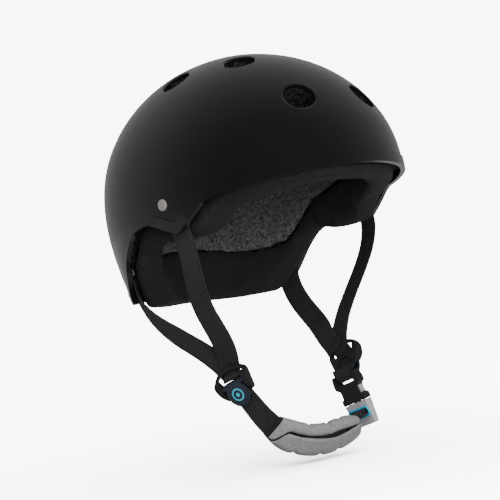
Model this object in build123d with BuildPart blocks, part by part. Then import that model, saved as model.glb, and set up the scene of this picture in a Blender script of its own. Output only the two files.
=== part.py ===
# Skateboard helmet: moulded shell, foam liner, padded bands, webbing, dividers, buckle and chin pad.
# Frame: origin on the head, under the middle of the crown lining. +Z up, -Y forward, +X wearer's left.
from build123d import *
from math import cos, pi, radians, sin, sqrt
import os

os.makedirs("parts", exist_ok=True)

# Shell form, in millimetres. Heights in this file are measured from the widest level of the shell.
HALF_WIDTH = 108.5
FRONT_REACH = 141.0
REAR_REACH = 134.5
CROWN_RISE = 114.0
PLAN_POWER = 2.15  # 2 would be an ellipse, more is squarer
SKIRT_DEPTH = 90.0
FRONT_FLARE = 4.0  # how far the skirt leans out in front, at its depth
REAR_TUCK = 31.0  # how far it tucks in behind
SIDE_TUCK = 9.0
PLAN_POINTS = 16  # points round each level of the form
SKIRT_LEVELS = (-98.0, -60.0, -30.0)  # heights of the levels below the widest one
CROWN_LIFTS = (0, 15, 30, 45, 58, 70, 79, 85.5)  # degrees from the widest level toward the crown

# Layers, from the outside in
SHELL_WALL = 3.0
LINER_WALL = 20.0
LINING_WALL = 6.0
BAND_WALL = 9.0
SKIN_GAP = 0.1
LEVEL = -(CROWN_RISE - SHELL_WALL - LINER_WALL - LINING_WALL)  # the widest level, in the part's frame

# Rim and lip
LIP_RISE = 1.1
LIP_WIDTH = 8.5
LINER_LIFT = 6.0  # the liner stops this far above the rim
REGION_DEPTH = 140.0  # cutting solids reach this far below the widest level
REGION_HALF = 150.0  # and this far to each side

# Vents
VENT_BORE = 25.0
VENT_BEVEL = 31.0
BEVEL_DEPTH = 1.6
BEVEL_ABOVE = 2.0  # the bevel's cone goes on this far outside the shell
BORE_LENGTH = 90.0
LINING_BORE = 21.0
VENTS = [  # angle from the side, in degrees, and height of each pair
    (-73.2, 62.0),
    (-54.5, 101.0),
    (2.9, 95.0),
    (58.2, 96.6),
    (63.8, -6.0),
]

# Webbing and rivets
WEB_WIDTH = 19.0
WEB_THICK = 1.4
RIVET_HEAD = 9.3
RIVET_SHANK = 4.0
SHANK_GAP = 0.2
RIVET_REACH = 14.0  # length of the cutters round a rivet
SPOT_FACE = 0.1  # height of the flat under a rivet's head
FRONT_RIVET = (-23.8, -6.4)  # y and height
REAR_RIVET = (58.5, -55.0)

# Chin loop
DISC_DIAMETER = 20.5
PIN_RISE = 8.5  # lever pin above the disc's middle
PIN_OUT = 4.0  # lever pin in front of the frame's middle plane

# Buckle
FEMALE_LENGTH = 26.0
MALE_LENGTH = 21.0
BUCKLE_WIDTH = 26.0
BUCKLE_THICK = 8.4
CAVITY_WIDTH = 21.8
CAVITY_THICK = 5.2
CAVITY_DEPTH = 16.0
LADDER_Y = 24.2  # middle of the bar that the webbing turns round
ARM_ROOT = 8.8  # half spacing of the latch arms
ARM_PIVOT = 0.9
ARM_THICK = 4.4
ARM_EYE = 1.1
SLOT_Y = -9.5  # webbing slot of the male half

# Chin pad
PAD_WIDTH = 27.0
PAD_THICK = 12.0
PAD_GATHERS = 5


GAP = 0.3  # gap between bodies that move past each other
SEATED = (Align.CENTER, Align.CENTER, Align.MIN)


def at(x, y, height):
    """Point in the part's frame from a height above the widest level."""
    return Vector(x, y, LEVEL + height)


def export(part, name):
    part.label = name
    export_step(part, f"parts/{name}.step")


# Shell form


def plan_point(angle, height, grow):
    """Plan outline of the form at one height, grown outward, at an angle from +X."""
    half = HALF_WIDTH + grow
    reach = (FRONT_REACH if sin(angle) < 0 else REAR_REACH) + grow
    sum_of_powers = abs(cos(angle) / half) ** PLAN_POWER + abs(sin(angle) / reach) ** PLAN_POWER
    spread = sum_of_powers ** (-1 / PLAN_POWER)
    if height >= 0:
        spread *= sqrt(max(0.0, 1 - (height / (CROWN_RISE + grow)) ** 2))
    else:
        end_tuck = -FRONT_FLARE if sin(angle) < 0 else REAR_TUCK
        tuck = end_tuck * sin(angle) ** 2 + SIDE_TUCK * cos(angle) ** 2
        spread -= tuck * (height / SKIRT_DEPTH) ** 2
    return spread * cos(angle), spread * sin(angle)


def helmet_form(grow):
    """Closed egg-shaped form of the shell's outside, grown by an offset."""
    heights = list(SKIRT_LEVELS)
    heights += [(CROWN_RISE + grow) * sin(radians(lift)) for lift in CROWN_LIFTS]
    with BuildPart() as form:
        for height in heights:
            with BuildSketch(Plane.XY.offset(LEVEL + height)):
                with BuildLine():
                    turns = [2 * pi * i / PLAN_POINTS for i in range(PLAN_POINTS)]
                    Spline(*[plan_point(turn, height, grow) for turn in turns], periodic=True)
                make_face()
        loft()
    return form.part


def surface_point(angle, height, grow=0.0):
    return at(*plan_point(angle, height, grow), height)


def surface_plane(angle, height, grow=0.0):
    """Plane on the form, its z axis pointing out of the helmet and its x axis level."""
    turn, step = radians(0.5), 0.5
    along = surface_point(angle + turn, height, grow) - surface_point(angle - turn, height, grow)
    up = surface_point(angle, height + step, grow) - surface_point(angle, height - step, grow)
    return Plane(origin=surface_point(angle, height, grow), x_dir=along, z_dir=along.cross(up))


def side_angle(side, y, height, grow=0.0):
    """Angle from +X at which the form's left (+1) or right (-1) wall passes one y."""
    low, high = -pi / 2, pi / 2
    for _ in range(40):
        middle = (low + high) / 2
        if plan_point(middle, height, grow)[1] < y:
            low = middle
        else:
            high = middle
    return low if side > 0 else pi - low


def side_plane(side, y, height, grow=0.0):
    return surface_plane(side_angle(side, y, height, grow), height, grow)


def side_region(points, radii, widen=0.0):
    """Everything below a line seen from the side: corner points, each with its fillet radius."""
    floor = LEVEL - REGION_DEPTH
    corners = [(y, LEVEL + height) for y, height in points]
    with BuildPart() as region:
        with BuildSketch(Plane.YZ) as profile:
            with BuildLine():
                Polyline(*corners, (corners[-1][0], floor), (corners[0][0], floor), close=True)
            make_face()
            for corner, radius in zip(corners, radii):
                if radius:
                    fillet(profile.vertices().sort_by_distance(corner)[0], radius)
            if widen:
                offset(amount=widen, kind=Kind.INTERSECTION)
        extrude(amount=REGION_HALF, both=True)
    return region.part


# The rim from brow to nape: temple corner, sideburn, top of the ear notch, its back, rear corner
RIM_POINTS = [
    (-190, 15.5), (-64, -8.0), (-36.4, -30.5), (-2, -19.0), (21, -24.5),
    (42, -45.0), (59.5, -80.5), (170, -77.0),
]
RIM_RADII = [0, 26, 8.5, 24, 26, 60, 5, 0]

# Lower and upper edge of the padded bands
BAND_LOW_POINTS = [
    (-190, 5), (-105, -4.5), (-66, -16), (-46, -34), (-12, -36), (8, -30.0), (26, -38),
    (45, -64), (56, -83.5), (78, -84), (170, -77),
]
BAND_LOW_RADII = [0, 60, 24, 12, 14, 8, 18, 50, 8, 30, 0]
BAND_TOP_POINTS = [
    (-190, 26), (-80, 15), (-20, 2.0), (12, -9), (42, -42), (76, -48), (104, -40), (170, -38),
]
BAND_TOP_RADII = [0, 60, 60, 30, 18, 20, 30, 0]

outer_form = helmet_form(0.0)
shell_inside = helmet_form(-SHELL_WALL)
liner_outside = helmet_form(-SHELL_WALL - SKIN_GAP)
liner_inside = helmet_form(-SHELL_WALL - LINER_WALL)
lining_outside = helmet_form(-SHELL_WALL - LINER_WALL - SKIN_GAP)
lining_inside = helmet_form(-SHELL_WALL - LINER_WALL - LINING_WALL)
band_inside = helmet_form(-SHELL_WALL - LINER_WALL - BAND_WALL)
below_rim = side_region(RIM_POINTS, RIM_RADII)
RIVET_PLACES = [(side, *place) for side in (-1, 1) for place in (FRONT_RIVET, REAR_RIVET)]

VENT_PLANES = [
    surface_plane(radians(angle if side > 0 else 180 - angle), height)
    for angle, height in VENTS
    for side in (-1, 1)
]


def vent_cutters(bore, bevel=0.0):
    """Bores through every layer at the vents, each opening into a cone where a bevel is given."""
    with BuildPart() as cutters:
        for plane in VENT_PLANES:
            with Locations(plane):
                Cylinder(bore / 2, BORE_LENGTH)
            if bevel:
                with BuildSketch(plane.offset(-BEVEL_DEPTH)):
                    Circle(bore / 2 - 0.4)
                with BuildSketch(plane.offset(BEVEL_ABOVE)):
                    Circle(bevel / 2 + (bevel - bore))
                loft()
    return cutters.part


# Outer shell: wall, raised lip that follows the rim, bevelled vents and rivet holes

with BuildPart() as outer_shell:
    add(helmet_form(LIP_RISE))
    add(side_region(RIM_POINTS, RIM_RADII, widen=LIP_WIDTH), mode=Mode.INTERSECT)
    add(outer_form)
    add(shell_inside, mode=Mode.SUBTRACT)
    add(below_rim, mode=Mode.SUBTRACT)
    add(vent_cutters(VENT_BORE, VENT_BEVEL), mode=Mode.SUBTRACT)
    with Locations(*[side_plane(*place) for place in RIVET_PLACES]):
        Cylinder(RIVET_SHANK / 2 + SHANK_GAP, RIVET_REACH, mode=Mode.SUBTRACT)
        with Locations((0, 0, SPOT_FACE)):
            Cylinder(RIVET_HEAD / 2 + 2 * SHANK_GAP, RIVET_REACH, align=SEATED, mode=Mode.SUBTRACT)
export(outer_shell.part, "outer_shell")

# Ribbons of webbing


def chord_shares(stations):
    """Share of the whole line at which each station lies."""
    reach = [0.0]
    for (first, _), (second, _) in zip(stations, stations[1:]):
        reach.append(reach[-1] + (second - first).length)
    return [step / reach[-1] for step in reach]


def section_planes(stations, count, start=0.0, stop=1.0):
    """Planes across a smooth line through stations, each a point and the direction across the strip."""
    with BuildLine() as line:
        Spline(*[point for point, _ in stations])
    path = line.edge()
    shares = chord_shares(stations)
    planes = []
    for i in range(count + 1):
        share = start + (stop - start) * i / count
        k = max(j for j in range(len(shares) - 1) if shares[j] <= share + 1e-6)
        blend = (share - shares[k]) / (shares[k + 1] - shares[k])
        along = path % share
        across = stations[k][1] * (1 - blend) + stations[k + 1][1] * blend
        planes.append(Plane(origin=path @ share, x_dir=across - along * across.dot(along), z_dir=along))
    return planes


def ribbon(stations, width, thick, sections=14, stop=1.0):
    """Strip lofted along the stations' line."""
    with BuildPart() as strip:
        for plane in section_planes(stations, sections, stop=stop):
            with BuildSketch(plane):
                Rectangle(width, thick)
        loft()
    return strip.part


def rounded_ring(width, height, radius, wire):
    """Round wire bent to a rounded rectangle in the XY plane."""
    with BuildSketch() as plan:
        RectangleRounded(width, height, radius)
    loop = plan.face().outer_wire()
    with BuildPart() as ring:
        with BuildSketch(Plane(origin=loop @ 0, z_dir=loop % 0)):
            Circle(wire / 2)
        sweep(path=loop)
    return ring.part


def shifted(stations, along_face):
    """The same stations moved toward the strip's outer face."""
    moved = []
    for i, (point, across) in enumerate(stations):
        before = stations[max(i - 1, 0)][0]
        after = stations[min(i + 1, len(stations) - 1)][0]
        moved.append((point + (after - before).cross(across).normalized() * along_face, across))
    return moved


# Dividers: origin in the middle of the disc, z out of the helmet, y up the frame, x level

DIVIDERS = {
    -1: Plane(origin=at(-54.4, -26.2, -157.3), x_dir=(0.231, -0.889, 0.395), z_dir=(-0.894, -0.355, -0.275)),
    1: Plane(origin=at(58.2, -30.1, -153.0), x_dir=(-0.070, 0.897, -0.436), z_dir=(0.958, -0.059, -0.278)),
}


def local(plane, x, y, z):
    return plane.from_local_coords(Vector(x, y, z))


def wall_station(side, y, height, inset):
    plane = side_plane(side, y, height, -inset)
    return plane.origin, plane.x_dir


def divider_station(side, forward, y, z):
    """Station at a divider; forward counts toward the front of the helmet on either side."""
    plane = DIVIDERS[side]
    return local(plane, -side * forward, y, z), plane.x_dir


STRAP_INSET = 4.7  # middle of the webbing below the shell's outside


def front_stations(side):
    middle = at(-87, -35, -83) if side < 0 else at(78.5, -31, -99.6)
    across = wall_station(side, -30, -28, STRAP_INSET)[1] + DIVIDERS[side].x_dir
    return [
        wall_station(side, -22.0, 2.0, STRAP_INSET),
        wall_station(side, FRONT_RIVET[0], FRONT_RIVET[1], STRAP_INSET),
        wall_station(side, -28.5, -18.0, STRAP_INSET),
        wall_station(side, -33.5, -29.0, STRAP_INSET),
        (middle, across.normalized()),
        divider_station(side, 3.6, 25.0, -4.1),
        divider_station(side, 1.4, 20.0, -3.5),
        divider_station(side, 0.6, 16.4, -2.5),
        divider_station(side, 0.3, 13.1, 0.4),
        divider_station(side, 0.2, 11.4, 0.85),
    ]


def rear_stations(side):
    middle = at(-75, 18, -111) if side < 0 else at(73, 14.7, -115.6)
    across = wall_station(side, 50, -75, STRAP_INSET)[1] + DIVIDERS[side].x_dir
    return [
        wall_station(side, 60.5, -46.0, STRAP_INSET),
        wall_station(side, REAR_RIVET[0], REAR_RIVET[1], STRAP_INSET),
        wall_station(side, 58.5, -66.0, STRAP_INSET),
        wall_station(side, 56.0, -76.0, STRAP_INSET),
        (middle, across.normalized()),
        divider_station(side, -6.0, 25.0, -6.3),
        divider_station(side, -4.5, 20.5, -5.8),
        divider_station(side, -3.4, 16.6, -5.3),
    ]


STRAPS = {(side, end): stations(side) for side in (-1, 1)
          for end, stations in (("front", front_stations), ("rear", rear_stations))}
SIDE_NAMES = {-1: "right", 1: "left"}
ROOM_SIDES = 3.0  # pocket in the foam: wider than the webbing by this
ROOM_THICK = 5.6
ROOM_SHIFT = 0.6
ROOM_RADIUS = 6.0
rivet_planes = [side_plane(*place) for place in RIVET_PLACES]

with BuildPart() as strap_room:
    for stations in STRAPS.values():
        (first, across), (second, _) = stations[:2]
        beyond = first + (first - second) * 0.4  # the pocket starts above the strap's end
        route = shifted([(beyond, across)] + stations[:5], ROOM_SHIFT)
        add(ribbon(route, WEB_WIDTH + ROOM_SIDES, ROOM_THICK, sections=10))
    with Locations(*[plane.offset(-ROOM_THICK) for plane in rivet_planes]):
        Cylinder(ROOM_RADIUS, ROOM_THICK - 0.6)

# Hook patches between the foam and the padding: angle from +X in degrees, and height
PATCH_PLACES = [(-90, 40), (-30, 40), (30, 40), (90, 40), (150, 40), (210, 40), (-90, 10), (90, -58)]
PATCH_DIAMETER = 22.0
PATCH_WALL = 1.2
PATCH_POCKET = 5.4  # thickness of the room cut for a patch
PATCH_FACE = -SHELL_WALL - LINER_WALL - SKIN_GAP
patch_planes = [surface_plane(radians(angle), height, PATCH_FACE) for angle, height in PATCH_PLACES]
patch_inside = helmet_form(PATCH_FACE - PATCH_WALL)

with BuildPart() as patch_room:
    with Locations(*patch_planes):
        Cylinder(PATCH_DIAMETER / 2 + GAP, PATCH_POCKET)

with BuildPart() as hook_patches:
    with Locations(*patch_planes):
        Cylinder(PATCH_DIAMETER / 2, 2 * PATCH_POCKET)
    add(lining_outside, mode=Mode.INTERSECT)
    add(patch_inside, mode=Mode.SUBTRACT)
export(hook_patches.part, "hook_patches")

# Foam liner: vents, pockets for the webbing, and a lower edge that stops above the rim

below_liner = side_region(RIM_POINTS, RIM_RADII, widen=LINER_LIFT)
vent_bores = vent_cutters(VENT_BORE)

with BuildPart() as impact_liner:
    add(liner_outside)
    add(liner_inside, mode=Mode.SUBTRACT)
    add(below_liner, mode=Mode.SUBTRACT)
    add(vent_bores, mode=Mode.SUBTRACT)
    add(strap_room.part, mode=Mode.SUBTRACT)
export(impact_liner.part, "impact_liner")

# Crown lining: fleece on thin foam above the bands, with smaller openings under the vents

with BuildPart() as crown_lining:
    add(lining_outside)
    add(lining_inside, mode=Mode.SUBTRACT)
    add(side_region(BAND_TOP_POINTS, BAND_TOP_RADII, widen=GAP), mode=Mode.SUBTRACT)
    add(vent_cutters(LINING_BORE), mode=Mode.SUBTRACT)
    add(patch_room.part, mode=Mode.SUBTRACT)
export(crown_lining.part, "crown_lining")

# Padded bands: an upright cushion inside the foam, with a foot that turns out under its lower edge

FOOT_INSET = 8.0
BAND_SPLIT = 8.0  # y of the seam between the two bands, over each ear

with BuildPart() as band_ring:
    add(helmet_form(-FOOT_INSET))
    add(side_region(RIM_POINTS, RIM_RADII, widen=LINER_LIFT - GAP), mode=Mode.INTERSECT)
    add(lining_outside)
    add(band_inside, mode=Mode.SUBTRACT)
    add(side_region(BAND_TOP_POINTS, BAND_TOP_RADII), mode=Mode.INTERSECT)
    add(side_region(BAND_LOW_POINTS, BAND_LOW_RADII), mode=Mode.SUBTRACT)
    add(strap_room.part, mode=Mode.SUBTRACT)
    add(patch_room.part, mode=Mode.SUBTRACT)

for end, name in ((-1, "front_band"), (1, "rear_band")):
    with BuildPart() as band:
        add(band_ring.part)
        with Locations((0, BAND_SPLIT + end * (GAP / 2 + 200), LEVEL)):
            Box(400, 400, 400, mode=Mode.INTERSECT)
    export(band.part, name)

# Rivets: domed head outside the shell, shank through shell, webbing and washer, flange inside

HEAD_RISE = 1.6
FLANGE_DEPTH = 7.6
WASHER_DEPTH = 6.1
FLANGE_RADIUS = 3.2
FLANGE_THICK = 0.9
WASHER_RADIUS = 5.0
WASHER_THICK = 0.8

with BuildPart() as rivet:
    with Locations((0, 0, 0.2)):
        Cylinder(RIVET_HEAD / 2, HEAD_RISE, align=SEATED)
    fillet(rivet.edges().sort_by(Axis.Z)[-1], HEAD_RISE * 0.75)
    with Locations((0, 0, -FLANGE_DEPTH)):
        Cylinder(RIVET_SHANK / 2, FLANGE_DEPTH + 1, align=SEATED)
        Cylinder(FLANGE_RADIUS, FLANGE_THICK, align=SEATED)

with BuildPart() as strap_rivets:
    with Locations(*rivet_planes):
        add(rivet.part)
export(strap_rivets.part, "strap_rivets")

with BuildPart() as rivet_washers:
    with Locations(*[plane.offset(-WASHER_DEPTH) for plane in rivet_planes]):
        Cylinder(WASHER_RADIUS, WASHER_THICK)
        Cylinder(RIVET_SHANK / 2 + SHANK_GAP, 2 * WASHER_THICK, mode=Mode.SUBTRACT)
export(rivet_washers.part, "rivet_washers")

# Straps from the rivets to the dividers

for (side, end), stations in STRAPS.items():
    hole = side_plane(side, *(FRONT_RIVET if end == "front" else REAR_RIVET))
    with BuildPart() as strap:
        add(ribbon(stations, WEB_WIDTH, WEB_THICK, sections=24))
        with Locations(hole):
            Cylinder(RIVET_SHANK / 2 + SHANK_GAP, 2 * RIVET_REACH, mode=Mode.SUBTRACT)
    export(strap.part, f"{end}_strap_{SIDE_NAMES[side]}")

# Divider frame: arched loop, crossbar under the webbing, and two legs that rise to hold the lever pin

FRAME_THICK = 3.2
FRAME_TOP = 23.0
SHOULDER = (18.0, 15.0)  # upper corner
FOOT = (13.0, -2.5)  # end of a leg
SHOULDER_RADIUS = 5.0
EDGE_RADIUS = 1.0
OPENING_TOP = 19.6
OPENING_CORNER = (13.8, 15.6)
OPENING_FOOT = (12.6, 11.1)
ARCH_RADIUS = 8.6  # recess behind the disc, open at the bottom
ARCH_MIDDLE = -0.6
ARCH_FOOT = 10.4  # half width of the recess at the legs' ends
STEP_FACE = -0.4  # sunk face between the legs that the webbing crosses
LEG_INSIDE = 11.2
LEG_RISE = 6.6  # height of the legs where they hold the pin
PIN_BORE = 1.05
BORE_HALF = 13.4

with BuildPart() as leg_humps:
    with BuildSketch(Plane.YZ):
        with BuildLine():
            ThreePointArc((SHOULDER[1] + 2, 0), (PIN_RISE, LEG_RISE), (FOOT[1] - 1, 0))
            Line((FOOT[1] - 1, 0), (SHOULDER[1] + 2, 0))
        make_face()
    extrude(amount=SHOULDER[0], both=True)
    with Locations((0, PIN_RISE, LEG_RISE / 2)):
        Box(2 * LEG_INSIDE, 40.0, 2 * LEG_RISE, mode=Mode.SUBTRACT)

with BuildPart() as frame_form:
    with BuildSketch() as frame_outline:
        with BuildLine():
            ThreePointArc((-SHOULDER[0], SHOULDER[1]), (0, FRAME_TOP), SHOULDER)
            Polyline(SHOULDER, FOOT, (-FOOT[0], FOOT[1]), (-SHOULDER[0], SHOULDER[1]))
        make_face()
        fillet(frame_outline.vertices().group_by(Axis.Y)[-1], SHOULDER_RADIUS)
        fillet(frame_outline.vertices().group_by(Axis.Y)[0], 2 * EDGE_RADIUS)
    extrude(amount=2 * LEG_RISE, both=True)

with BuildPart() as frame:
    add(frame_form.part)
    Box(100, 100, FRAME_THICK, mode=Mode.INTERSECT)
    fillet(frame.faces().sort_by(Axis.Z)[-1].edges(), EDGE_RADIUS)
    fillet(frame.faces().sort_by(Axis.Z)[0].edges(), EDGE_RADIUS)
    add(leg_humps.part & frame_form.part)
    with BuildSketch() as opening:
        with BuildLine():
            ThreePointArc((-OPENING_CORNER[0], OPENING_CORNER[1]), (0, OPENING_TOP), OPENING_CORNER)
            Polyline(OPENING_CORNER, OPENING_FOOT, (-OPENING_FOOT[0], OPENING_FOOT[1]),
                     (-OPENING_CORNER[0], OPENING_CORNER[1]))
        make_face()
        fillet(opening.vertices(), EDGE_RADIUS)
        with Locations((0, ARCH_MIDDLE)):
            Circle(ARCH_RADIUS)
        with Locations((0, -8.5)):
            Rectangle(2 * ARCH_FOOT, 20)
    extrude(amount=FRAME_THICK, both=True, mode=Mode.SUBTRACT)
    with Locations((0, OPENING_FOOT[1] - 20, STEP_FACE + LEG_RISE)):
        Box(2 * LEG_INSIDE, 42.0, 2 * LEG_RISE, mode=Mode.SUBTRACT)
    with Locations(Plane.YZ):
        with Locations((PIN_RISE, PIN_OUT, 0)):
            Cylinder(PIN_BORE, 2 * BORE_HALF, mode=Mode.SUBTRACT)

# Lever: hub on the pin and a domed disc that lies over the webbing

LEVER_HUB = 2.3
LEVER_HALF = 10.9
HUB_BORE = 1.3
DISC_LOW = 4.2
DISC_TOP = 7.2
DOME_RADIUS = 60.0

with BuildPart() as lever:
    with Locations((0, 0, DISC_LOW)):
        Cylinder(DISC_DIAMETER / 2, DISC_TOP - DISC_LOW, align=SEATED)
    with Locations((0, 0, DISC_TOP - DOME_RADIUS)):
        Sphere(DOME_RADIUS, mode=Mode.INTERSECT)
    fillet(lever.edges().sort_by(Axis.Z)[0], 0.6)
    with Locations(Plane.YZ):
        with Locations((PIN_RISE, PIN_OUT, 0)):
            Cylinder(LEVER_HUB, 2 * LEVER_HALF)
            Cylinder(HUB_BORE, 40.0, mode=Mode.SUBTRACT)

with BuildPart() as pin:
    with Locations(Plane.YZ):
        with Locations((PIN_RISE, PIN_OUT, 0)):
            Cylinder(PIN_BORE - 0.1, 2 * BORE_HALF - 0.4)

for side, place in DIVIDERS.items():
    for piece, name in ((frame, "divider_frame"), (lever, "divider_lever"), (pin, "lever_pin")):
        with BuildPart() as placed:
            with Locations(place):
                add(piece.part)
        export(placed.part, f"{name}_{SIDE_NAMES[side]}")

# Buckle: origin in the mouth of the female half, y up the strap, z out of the helmet, x to the back

BUCKLE = Plane(origin=at(57.0, -39.4, -182.9), x_dir=(-0.045, 0.957, -0.272), z_dir=(0.979, 0.093, 0.164))

FEMALE_SIDE = [  # lip of the mouth, waist where the latch arms show, shoulder and top
    (13.2, 0), (13.2, 4.4), (10.2, 6.4), (10.2, 12.4), (14.5, 15.4), (14.5, 19.5), (13.0, FEMALE_LENGTH),
]
SLOT_LOW = 17.5  # lower end of the webbing's slot
BAR_SIZE = (3.4, 3.2)  # ladder bar along the strap and through it

with BuildPart() as female:
    with BuildSketch():
        with BuildLine() as outline:
            Polyline((0, 0), *FEMALE_SIDE, (0, FEMALE_LENGTH))
            mirror(about=Plane.YZ)
        make_face()
    extrude(amount=BUCKLE_THICK / 2, both=True)
    fillet(female.edges().filter_by(Axis.Z), 1.1)
    fillet(female.faces().sort_by(Axis.Z)[-1].edges(), 0.8)
    fillet(female.faces().sort_by(Axis.Z)[0].edges(), 0.8)
    with Locations((0, CAVITY_DEPTH / 2 - 1, 0)):
        Box(CAVITY_WIDTH, CAVITY_DEPTH + 2, CAVITY_THICK, mode=Mode.SUBTRACT)
    with Locations((0, SLOT_LOW + 10, 0)):
        Box(WEB_WIDTH + 0.8, 20.0, BUCKLE_THICK + 2, mode=Mode.SUBTRACT)
    with Locations((0, LADDER_Y, 0)):
        Box(WEB_WIDTH + 3, *BAR_SIZE)

with BuildPart() as buckle_female:
    with Locations(BUCKLE):
        add(female.part)
export(buckle_female.part, "buckle_female")

MALE_TAPER = 3.1
TONGUE = (5.0, 14.6)
TONGUE_Y = 6.5
MALE_BAR = 0.8  # radius of the bar in the webbing's slot

with BuildPart() as male:
    for y, taper in ((-0.5, 0), (-MALE_LENGTH, MALE_TAPER)):
        with BuildSketch(Plane.XZ.offset(-y)):
            RectangleRounded(BUCKLE_WIDTH - taper, BUCKLE_THICK - taper, 1.6)
    loft()
    fillet(male.faces().sort_by(Axis.Y)[0].edges(), 1.2)
    with Locations((0, SLOT_Y, 0)):
        Box(WEB_WIDTH + 1.2, 5.0, BUCKLE_THICK + 2, mode=Mode.SUBTRACT)
    with Locations(Plane.YZ):
        with Locations((SLOT_Y, 1.0, 0)):
            Cylinder(MALE_BAR, WEB_WIDTH + 3)
    with Locations((0, TONGUE_Y, 0)):
        Box(*TONGUE, ARM_THICK)
    fillet(male.faces().sort_by(Axis.Y)[-1].edges().filter_by(Axis.Z), 1.5)

with BuildPart() as buckle_male:
    with Locations(BUCKLE):
        add(male.part)
export(buckle_male.part, "buckle_male")

ARM_OUTLINE = [  # root, outer side with the pressing bulge, tip and inner side
    (7.7, ARM_PIVOT), (9.9, ARM_PIVOT), (10.0, 5.9), (11.7, 6.7),
    (11.7, 9.2), (10.2, 12.6), (9.0, 12.6), (8.7, 8.0),
]

with BuildPart() as arm:
    with BuildSketch():
        with Locations((ARM_ROOT, ARM_PIVOT)):
            Circle(ARM_EYE)
        with BuildLine():
            Polyline(*ARM_OUTLINE, close=True)
        make_face()
    extrude(amount=ARM_THICK / 2, both=True)

for turn, name in ((180, "latch_arm_front"), (0, "latch_arm_rear")):
    with BuildPart() as placed_arm:
        with Locations(BUCKLE):
            with Locations(Rotation(0, turn, 0)):
                add(arm.part)
    export(placed_arm.part, name)

RING_WIRE = 1.8

with BuildPart() as slot_ring:
    with Locations(BUCKLE):
        with Locations(Location((0, SLOT_Y, -BUCKLE_THICK / 2 - RING_WIRE / 2 + 0.65), (-4.5, 0, 0))):
            add(rounded_ring(WEB_WIDTH + 3.4, 7.4, 2.5, RING_WIRE))
export(slot_ring.part, "slot_ring")

# Buckle strap: over the left divider's plate, down to the ladder bar, round it and back up inside

def buckle_station(x, y, z, facing=1):
    return local(BUCKLE, x, y, z), BUCKLE.x_dir * facing


BUCKLE_STRAP = [
    divider_station(1, *place)
    for place in ((0, 10.3, 0.5), (0, 6, 0.55), (0.3, 1, 0.6), (0.6, -2.4, 0.4))
]
BUCKLE_STRAP += [
    buckle_station(0, y, z)
    for y, z in (
        (27.2, 2.7), (25, 2.75), (22.6, 2.7), (20.6, 1.9), (19.8, 0),
        (20.6, -1.9), (22.6, -2.7), (26, -2.75), (31, -3)
    )
]

with BuildPart() as buckle_strap:
    add(ribbon(BUCKLE_STRAP, WEB_WIDTH, WEB_THICK, sections=36))
export(buckle_strap.part, "buckle_strap")

# Chin strap: over the right divider's plate, forward and down, then through the sleeve of the chin pad

CHIN_LINE = [divider_station(-1, *place) for place in (
    (0, 10.3, 0.5), (0, 8, 0.5), (0, 5, 0.5), (0.1, 1.5, 0.55), (0.3, -1.8, 0.6), (0.6, -5.2, 0.6)
)]
CHIN_LINE += [
    (at(-37, -40, -189), Vector(0.235, -0.453, 0.795)),
    (at(0, -48, -204.5), Vector(0, -0.38, 0.92)),
    (at(45, -47, -198.5), Vector(-0.125, -0.28, 0.93)),
    (at(55, -46.4, -196.0), Vector(-0.125, -0.28, 0.93)),
]
PAD_START, PAD_MIDDLE, PAD_STOP = chord_shares(CHIN_LINE)[6:9]
STRAP_STOP = PAD_MIDDLE + 0.7 * (PAD_STOP - PAD_MIDDLE)  # the strap ends inside the pad

with BuildPart() as chin_strap:
    add(ribbon(CHIN_LINE, WEB_WIDTH, WEB_THICK, sections=40, stop=STRAP_STOP))
export(chin_strap.part, "chin_strap")

# Chin pad: gathered sleeve of fabric round the strap, slit along its outer face

PAD_SECTIONS = 20
PAD_SLIT = 4.0  # slit above the middle of the face
SLIT_WIDTH = 1.4

with BuildPart() as chin_pad:
    for i, plane in enumerate(section_planes(CHIN_LINE, PAD_SECTIONS, PAD_START, PAD_STOP)):
        gather = 1 + 0.04 * cos(2 * pi * PAD_GATHERS * i / PAD_SECTIONS)
        ends = 1 - 0.22 * abs(2 * i / PAD_SECTIONS - 1) ** 5
        with BuildSketch(plane):
            RectangleRounded(PAD_WIDTH * gather * ends, PAD_THICK * gather * ends, 0.45 * PAD_THICK * ends)
    loft()
    add(ribbon(CHIN_LINE, WEB_WIDTH + 1.6, WEB_THICK + 3 * GAP, sections=40), mode=Mode.SUBTRACT)
    for plane in section_planes(CHIN_LINE, 10, PAD_START - 0.02, PAD_STOP + 0.02):
        with BuildSketch(plane):
            with Locations((PAD_SLIT, PAD_THICK / 2)):
                Rectangle(SLIT_WIDTH, PAD_THICK)
    loft(mode=Mode.SUBTRACT)
export(chin_pad.part, "chin_pad")

# Fold of webbing: out of the pad's right end, through the male half, round its bar and back

CHIN_FOLD = [
    buckle_station(0, y, z, facing=-1)
    for y, z in ((-7.9, -8), (-7.9, -3), (-7.9, 0.6), (-8.4, 2.1), (-9.5, 2.6), (-10.6, 2.1), (-11.1, 0.6),
                 (-11.1, -3))
]
CHIN_FOLD += [
    buckle_station(-0.6, -11.8, -7, facing=-1),
    buckle_station(-1.5, -13.0, -11, facing=-1),
]
CHIN_FOLD += [
    (plane.origin, plane.x_dir)
    for plane in reversed(section_planes(CHIN_LINE, 3, PAD_STOP - 0.08, PAD_STOP))
]

with BuildPart() as chin_fold:
    add(ribbon(CHIN_FOLD, WEB_WIDTH, WEB_THICK, sections=36))
export(chin_fold.part, "chin_fold")
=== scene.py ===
# %% [markdown]
# # A skateboard helmet, dressed in Blender
# The hard parts arrive as exact solids, already in place and in metres. This notebook gives each of them
# a finish, and makes every soft part anew: fleece lining, padded bands, woven straps and the chin pad.
# The frame is loaded first, so that every later piece can be placed by the solids' own numbers.

# %% Load the frame
import math

import bmesh
import bpy
import numpy as np
from mathutils import Matrix, Vector, noise


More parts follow.
